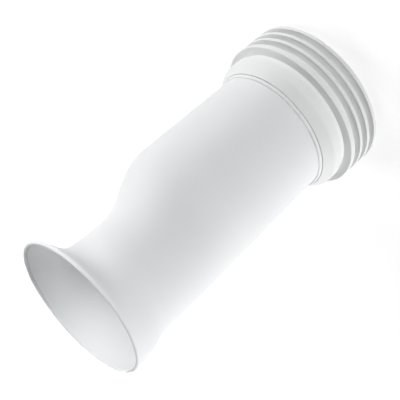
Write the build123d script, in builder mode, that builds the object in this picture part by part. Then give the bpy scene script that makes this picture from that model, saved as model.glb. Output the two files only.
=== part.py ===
from build123d import *
import os

# Offset toilet extension: a white moulded waste tube with a bell mouth at the pan end
# and a soft finned seal on the spigot end. It stands on the finned end, mouth up.
# The finned end's axis is Z, its end face is at z = 0, and the mouth steps over towards +X.

# Finned seal: thicknesses over the spigot
sleeve_wall = 5.0
nose_wall = 3.0
fin_height = 6.0
shoulder_height = 1.5
tail_wall = 2.0

# Finned seal: lengths, from the end face upwards
nose_length = 4.9
thin_fins = 3
thin_fin_tip = 2.5
thin_fin_pitch = 7.4
heavy_fin_tip = 3.8
heavy_fin_pitch = 9.4
fin_front_run = 2.2
fin_back_lean = 0.8
shoulder_gap = 3.8
shoulder_width = 7.2
tail_length = 7.0
fin_edge_round = 0.45
shoulder_bevel = 0.6
same_place = 0.01

# Tube: the straight spigot with its stop bead behind the seal, then the upper run
spigot_od = 90.0
wall = 3.0
bead_width = 2.6
bead_height = 1.4
bead_bevel = 0.6
land_length = 3.0
run_length = 75.0

# Step and neck: the narrower straight stretch below the bell, shifted to one side
step_length = 62.0
step_cuts = 8
neck_length = 13.0
neck_od = 79.0
neck_offset = 13.5

# Bell mouth
bell_length = 30.0
mouth_od = 104.0
mouth_offset = 7.0
mouth_wall = 2.4
lip_height = 2.0
lip_round = 1.0

# Radii
spigot_r = spigot_od / 2
sleeve_r = spigot_r + sleeve_wall
fin_r = sleeve_r + fin_height
shoulder_r = sleeve_r + shoulder_height
neck_r = neck_od / 2
mouth_r = mouth_od / 2

# Heights of the seal
heavy_fin_back = nose_length + thin_fin_tip + (thin_fins - 1) * thin_fin_pitch + heavy_fin_pitch
shoulder_front = heavy_fin_back + fin_back_lean + shoulder_gap
shoulder_back = shoulder_front + shoulder_width
seal_length = shoulder_back + tail_length

# Heights of the tube
run_start = seal_length + bead_width + land_length
step_start = run_start + run_length
neck_start = step_start + step_length
neck_end = neck_start + neck_length
lip_base = neck_end + bell_length

# The wall on the offset side runs out in one straight slope from the spigot to the neck.
# The wall opposite stays parallel to the spigot, then steps in over a short length.
in_wall = neck_offset - neck_r
out_wall = neck_offset + neck_r
run_slope = (out_wall - spigot_r) / (neck_start - run_start)

# Each section of the tube is a circle: its height, its two walls' places on X and its skin.
# Upper run: the two ends of a straight eccentric cone
run_sections = [
    (run_start, -spigot_r, spigot_r, wall),
    (step_start, -spigot_r, spigot_r + run_slope * run_length, wall),
]

# Step: the stepped side follows a soft S from the upper run to the neck
step_sections = []
for i in range(step_cuts + 1):
    along = i / step_cuts
    in_share = along ** 3 * (10 - 15 * along + 6 * along ** 2)
    z = step_start + along * step_length
    in_side = -spigot_r + in_share * (in_wall + spigot_r)
    out_side = spigot_r + run_slope * (z - run_start)
    step_sections.append((z, in_side, out_side, wall))

# Bell: it opens late on the stepped side and early on the offset side.
# Each row is the share of its height, then of the widening on either side.
bell_shares = [
    (0.0, 0.00, 0.00),
    (0.2, 0.01, 0.24),
    (0.4, 0.05, 0.60),
    (0.6, 0.20, 0.84),
    (0.8, 0.53, 0.95),
    (1.0, 1.00, 1.00),
]
bell_sections = []
for along, in_share, out_share in bell_shares:
    z = neck_end + along * bell_length
    in_side = in_wall + in_share * (mouth_offset - mouth_r - in_wall)
    out_side = out_wall + out_share * (mouth_offset + mouth_r - out_wall)
    skin = wall + along * (mouth_wall - wall)
    bell_sections.append((z, in_side, out_side, skin))

# Moulded tube: the bead first, then the outside of every run, then the inside cut from it
upward = (Align.CENTER, Align.CENTER, Align.MIN)
with BuildPart() as body:
    with Locations((0, 0, seal_length)):
        Cylinder(spigot_r + bead_height, bead_width, align=upward)
    chamfer(body.edges().filter_by(GeomType.CIRCLE), bead_bevel)
    for depth, mode in ((0, Mode.ADD), (1, Mode.SUBTRACT)):
        Cylinder(spigot_r - depth * wall, run_start, align=upward, mode=mode)
        for sections, straight in ((run_sections, True), (step_sections, False), (bell_sections, False)):
            for z, in_side, out_side, skin in sections:
                with BuildSketch(Plane.XY.offset(z)):
                    with Locations(((in_side + out_side) / 2, 0)):
                        Circle((out_side - in_side) / 2 - depth * skin)
            loft(ruled=straight, mode=mode)
        with Locations((neck_offset, 0, neck_start)):
            Cylinder(neck_r - depth * wall, neck_length, align=upward, mode=mode)
    with BuildSketch(Plane((mouth_offset, 0, lip_base), x_dir=(1, 0, 0), z_dir=(0, -1, 0))) as lip:
        with Locations((mouth_r - mouth_wall / 2, lip_height / 2)):
            Rectangle(mouth_wall, lip_height)
        fillet(lip.vertices().sort_by(Axis.Y)[-2:], min(lip_round, 0.45 * mouth_wall, 0.9 * lip_height))
    revolve(axis=Axis((mouth_offset, 0, 0), (0, 0, 1)))

# Finned seal: a solid of revolution on the spigot. The nose widens up to the first fin's tip,
# and each fin has a sloping front and a steep back. The last fin is the heavy one.
profile = [
    (spigot_r, 0),
    (spigot_r + nose_wall, 0),
]
for i in range(thin_fins + 1):
    heavy = i == thin_fins
    tip = heavy_fin_tip if heavy else thin_fin_tip
    tip_back = heavy_fin_back if heavy else nose_length + thin_fin_tip + i * thin_fin_pitch
    if i > 0:
        profile.append((sleeve_r, tip_back - tip - fin_front_run))
    profile.append((fin_r, tip_back - tip))
    profile.append((fin_r, tip_back))
    profile.append((sleeve_r, tip_back + fin_back_lean))
profile.append((sleeve_r, shoulder_front))
profile.append((shoulder_r, shoulder_front))
profile.append((shoulder_r, shoulder_back))
profile.append((spigot_r + tail_wall, seal_length))
profile.append((spigot_r, seal_length))

with BuildPart() as finned_seal:
    with BuildSketch(Plane.XZ) as section:
        with BuildLine():
            Polyline(*profile, close=True)
        make_face()
        fin_corners = section.vertices().filter_by(lambda point: abs(point.X - fin_r) < same_place)
        fillet(fin_corners, fin_edge_round)
        shoulder_corners = section.vertices().filter_by(lambda point: abs(point.X - shoulder_r) < same_place)
        chamfer(shoulder_corners, shoulder_bevel)
    revolve(axis=Axis.Z)

body.part.label = "body"
finned_seal.part.label = "finned_seal"
os.makedirs("parts", exist_ok=True)
export_step(body.part, "parts/body.step")
export_step(finned_seal.part, "parts/finned_seal.step")
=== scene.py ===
import math

import bmesh
import bpy
from mathutils import Matrix, Vector

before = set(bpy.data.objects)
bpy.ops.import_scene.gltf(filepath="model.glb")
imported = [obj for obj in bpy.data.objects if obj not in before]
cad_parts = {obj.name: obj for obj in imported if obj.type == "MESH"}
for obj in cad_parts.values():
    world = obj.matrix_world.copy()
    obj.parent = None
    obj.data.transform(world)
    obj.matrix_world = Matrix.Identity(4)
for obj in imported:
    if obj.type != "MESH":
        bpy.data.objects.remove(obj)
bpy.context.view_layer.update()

# Moulded tube: one injection moulding in white polypropylene, with a bell mouth, a neck, a one-sided
# step and a plain spigot that the seal covers. Its skin is the mould's own: smooth, slightly satin,
# with a faint cloudiness and very fine draw marks along its length. Light soaks a little way into it.


class Wire:
    """A socket that can be used in sums. Each sum adds its own Math node to the material."""

    def __init__(self, socket):
        self.socket = socket
        self.tree = socket.id_data

    @staticmethod
    def node(tree, kind, settings, inputs, output=0):
        made = tree.nodes.new("ShaderNode" + kind)
        for name, value in settings.items():
            setattr(made, name, value)
        for name, value in inputs.items():
            if isinstance(value, Wire):
                tree.links.new(value.socket, made.inputs[name])
            else:
                made.inputs[name].default_value = value
        return Wire(made.outputs[output])

    def sum(self, operation, first, second):
        return Wire.node(self.tree, "Math", {"operation": operation}, {0: first, 1: second})

    def __add__(self, other):
        return self.sum("ADD", self, other)

    def __radd__(self, other):
        return self.sum("ADD", other, self)

    def __sub__(self, other):
        return self.sum("SUBTRACT", self, other)

    def __rsub__(self, other):
        return self.sum("SUBTRACT", other, self)

    def __mul__(self, other):
        return self.sum("MULTIPLY", self, other)

    def __rmul__(self, other):
        return self.sum("MULTIPLY", other, self)

    def feed(self, shader, name):
        self.tree.links.new(self.socket, shader.inputs[name])


tube_white = (0.84, 0.85, 0.857, 1)
tube_cloud_tint = (0.80, 0.811, 0.818, 1)
tube_bend = 1.49
tube_soak = 0.001
tube_satin = 0.50
cloud_size = 0.035
cloud_share = 0.8
cloud_gloss = 0.10
draw_mark_width = 0.0009
draw_mark_length = 0.09
draw_mark_gloss = 0.06
draw_mark_share = 0.5
grain_size = 0.0004
tube_relief = 0.10
relief_depth = 0.0002
noise_middle = 0.5

tube_plastic = bpy.data.materials.new("white_moulded_plastic")
tube_plastic.use_nodes = True
tube_tree = tube_plastic.node_tree
tube_shader = tube_tree.nodes["Principled BSDF"]
tube_shader.inputs["IOR"].default_value = tube_bend
tube_shader.inputs["Subsurface Weight"].default_value = 1.0
tube_shader.inputs["Subsurface Radius"].default_value = (1.0, 1.0, 1.0)
tube_shader.inputs["Subsurface Scale"].default_value = tube_soak
place = Wire.node(tube_tree, "TexCoord", {}, {}, "Object")

clouds = Wire.node(tube_tree, "TexNoise", {}, {"Vector": place, "Scale": 1 / cloud_size, "Detail": 3.0})
drawn = Wire.node(tube_tree, "Mapping", {}, {
    "Vector": place,
    "Scale": (1 / draw_mark_width, 1 / draw_mark_width, 1 / draw_mark_length),
})
draw_marks = Wire.node(tube_tree, "TexNoise", {}, {"Vector": drawn, "Scale": 1.0, "Detail": 2.0})
grain = Wire.node(tube_tree, "TexNoise", {}, {"Vector": place, "Scale": 1 / grain_size, "Detail": 1.0})

tint = Wire.node(tube_tree, "Mix", {"data_type": "RGBA"}, {
    0: clouds * cloud_share + draw_marks * (1 - cloud_share),
    6: tube_white,
    7: tube_cloud_tint,
}, 2)
tint.feed(tube_shader, "Base Color")
gloss = (
    tube_satin
    + (clouds - noise_middle) * cloud_gloss
    + (draw_marks - noise_middle) * draw_mark_gloss
)
gloss.feed(tube_shader, "Roughness")
relief = Wire.node(tube_tree, "Bump", {}, {
    "Strength": tube_relief,
    "Distance": relief_depth,
    "Height": draw_marks * draw_mark_share + grain * (1 - draw_mark_share),
})
relief.feed(tube_shader, "Normal")

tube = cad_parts["body"]
tube.data.materials.clear()
tube.data.materials.append(tube_plastic)

# Finned seal: one soft white elastomer sleeve, moulded by itself and stretched over the spigot as far
# as the bead. Its fins fold back inside the soil pipe. It is duller than the tube, with a softer skin.

seal_white = (0.84, 0.845, 0.845, 1)
seal_cloud_tint = (0.80, 0.805, 0.805, 1)
seal_bend = 1.46
seal_satin = 0.52
seal_cloud_size = 0.018
seal_cloud_gloss = 0.12
seal_grain_size = 0.0006
seal_grain_gloss = 0.06
seal_relief = 0.15

seal_rubber = bpy.data.materials.new("soft_white_seal")
seal_rubber.use_nodes = True
seal_tree = seal_rubber.node_tree
seal_shader = seal_tree.nodes["Principled BSDF"]
seal_shader.inputs["IOR"].default_value = seal_bend
place = Wire.node(seal_tree, "TexCoord", {}, {}, "Object")

clouds = Wire.node(seal_tree, "TexNoise", {}, {"Vector": place, "Scale": 1 / seal_cloud_size, "Detail": 4.0})
grain = Wire.node(seal_tree, "TexNoise", {}, {"Vector": place, "Scale": 1 / seal_grain_size, "Detail": 2.0})

tint = Wire.node(seal_tree, "Mix", {"data_type": "RGBA"}, {0: clouds, 6: seal_white, 7: seal_cloud_tint}, 2)
tint.feed(seal_shader, "Base Color")
gloss = (
    seal_satin
    + (clouds - noise_middle) * seal_cloud_gloss
    + (grain - noise_middle) * seal_grain_gloss
)
gloss.feed(seal_shader, "Roughness")
relief = Wire.node(seal_tree, "Bump", {}, {
    "Strength": seal_relief,
    "Distance": relief_depth,
    "Height": grain,
})
relief.feed(seal_shader, "Normal")

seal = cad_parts["finned_seal"]
seal.data.materials.clear()
seal.data.materials.append(seal_rubber)

# Floor: a plain pale sheet under the part. What the camera sees of it, by itself or in a shine, is
# lifted to white: a little less around the part, where its shadow falls, and fully further out.


def seen(tree):
    camera_ray = Wire.node(tree, "LightPath", {}, {}, "Is Camera Ray")
    glossy_ray = Wire.node(tree, "LightPath", {}, {}, "Is Glossy Ray")
    transmission_ray = Wire.node(tree, "LightPath", {}, {}, "Is Transmission Ray")
    return camera_ray + glossy_ray + transmission_ray


floor_half_width = 1.6
floor_grey = (0.5, 0.5, 0.5, 1)
floor_dullness = 0.9
shadow_lift = 0.72
shadow_reach = 0.25
white_reach = 0.70

floor_mesh = bpy.data.meshes.new("floor")
sheet = bmesh.new()
bmesh.ops.create_grid(sheet, x_segments=1, y_segments=1, size=floor_half_width)
sheet.to_mesh(floor_mesh)
sheet.free()
floor = bpy.data.objects.new("floor", floor_mesh)
bpy.context.scene.collection.objects.link(floor)

floor_paint = bpy.data.materials.new("pale_floor")
floor_paint.use_nodes = True
floor_tree = floor_paint.node_tree
floor_shader = floor_tree.nodes["Principled BSDF"]
floor_shader.inputs["Base Color"].default_value = floor_grey
floor_shader.inputs["Roughness"].default_value = floor_dullness
floor_shader.inputs["Specular IOR Level"].default_value = 0.0
place = Wire.node(floor_tree, "TexCoord", {}, {}, "Object")
reach = Wire.node(floor_tree, "VectorMath", {"operation": "LENGTH"}, {0: place}, "Value")
lift = Wire.node(floor_tree, "MapRange", {"interpolation_type": "SMOOTHSTEP"}, {
    "Value": reach,
    "From Min": shadow_reach,
    "From Max": white_reach,
    "To Min": shadow_lift,
    "To Max": 1.0,
})
shown = seen(floor_tree) * lift
glow = Wire.node(floor_tree, "Emission", {}, {"Color": (1, 1, 1, 1), "Strength": shown})
lifted = Wire.node(floor_tree, "AddShader", {}, {0: Wire(floor_shader.outputs[0]), 1: glow})
lifted.feed(floor_tree.nodes["Material Output"], "Surface")
floor_mesh.materials.append(floor_paint)

# Studio light: a surround that looks white but gives little light, a tall soft lamp on the stepped side,
# and low strips on that side, in front and on the offset side. Two lamps behind catch the fins' backs,
# and a small one the mouth. No lamp shows in a shine, so that no edge is lost against the white.

surround_light = 0.02

surround = bpy.data.worlds.new("white_surround")
bpy.context.scene.world = surround
surround.use_nodes = True
surround_tree = surround.node_tree
backdrop = surround_tree.nodes["Background"]
backdrop.inputs["Color"].default_value = (1, 1, 1, 1)
(surround_light + seen(surround_tree) * (1 - surround_light)).feed(backdrop, "Strength")

for name, spot, aim, size, spread, power in (
    ("stepped_side_lamp", (-1.82, 0.65, 0.58), (0.0, 0.0, 0.13), (1.0, 1.1), 180, 21.0),
    ("stepped_side_strip", (-1.53, 1.29, 0.11), (0.0, 0.0, 0.11), (1.0, 0.2), 180, 10.0),
    ("front_strip", (0.0, 1.9, 0.12), (0.0, 0.0, 0.12), (0.8, 0.2), 180, 5.0),
    ("offset_side_strip", (1.94, 0.47, 0.11), (0.0, 0.0, 0.11), (1.0, 0.2), 180, 35.0),
    ("back_stepped_side_lamp", (-0.75, -0.85, 1.15), (0.0, 0.0, 0.12), (0.8, 0.5), 180, 9.0),
    ("back_offset_side_lamp", (0.75, -0.85, 1.15), (0.0, 0.0, 0.12), (0.8, 0.5), 180, 5.2),
    ("mouth_lamp", (-0.06, 0.14, 0.37), (0.025, -0.05, 0.217), (0.04, 0.04), 34, 0.014),
):
    lamp = bpy.data.lights.new(name, "AREA")
    lamp.shape = "RECTANGLE"
    lamp.size = size[0]
    lamp.size_y = size[1]
    lamp.spread = math.radians(spread)
    lamp.energy = power
    lamp_object = bpy.data.objects.new(name, lamp)
    lamp_object.location = spot
    lamp_object.rotation_euler = (Vector(aim) - Vector(spot)).to_track_quat("-Z", "Y").to_euler()
    lamp_object.visible_camera = False
    lamp_object.visible_glossy = False
    bpy.context.scene.collection.objects.link(lamp_object)

# Camera: from above the mouth on the +Y side, rolled so that the part lies across the frame with its
# finned end at the upper right.

camera_target = Vector((0.00443, 0.0, 0.12553))
camera_distance = 0.8177
camera_elevation = math.radians(25.28)
camera_roll = math.radians(-130.55)
photo_width = 400
photo_focal_length = 1232.8

lens = bpy.data.cameras.new("photo_camera")
lens.sensor_width = 36.0
lens.lens = photo_focal_length / photo_width * lens.sensor_width
back = Vector((0, math.cos(camera_elevation), math.sin(camera_elevation)))
level_right = Vector((-1, 0, 0))
level_up = Vector((0, -math.sin(camera_elevation), math.cos(camera_elevation)))
right = math.cos(camera_roll) * level_right + math.sin(camera_roll) * level_up
up = math.cos(camera_roll) * level_up - math.sin(camera_roll) * level_right
camera_turn = Matrix((right, up, back)).transposed().to_4x4()
camera = bpy.data.objects.new("photo_camera", lens)
camera.matrix_world = Matrix.Translation(camera_target + camera_distance * back) @ camera_turn
bpy.context.scene.collection.objects.link(camera)
bpy.context.scene.camera = camera

bpy.context.scene.view_settings.view_transform = "Standard"
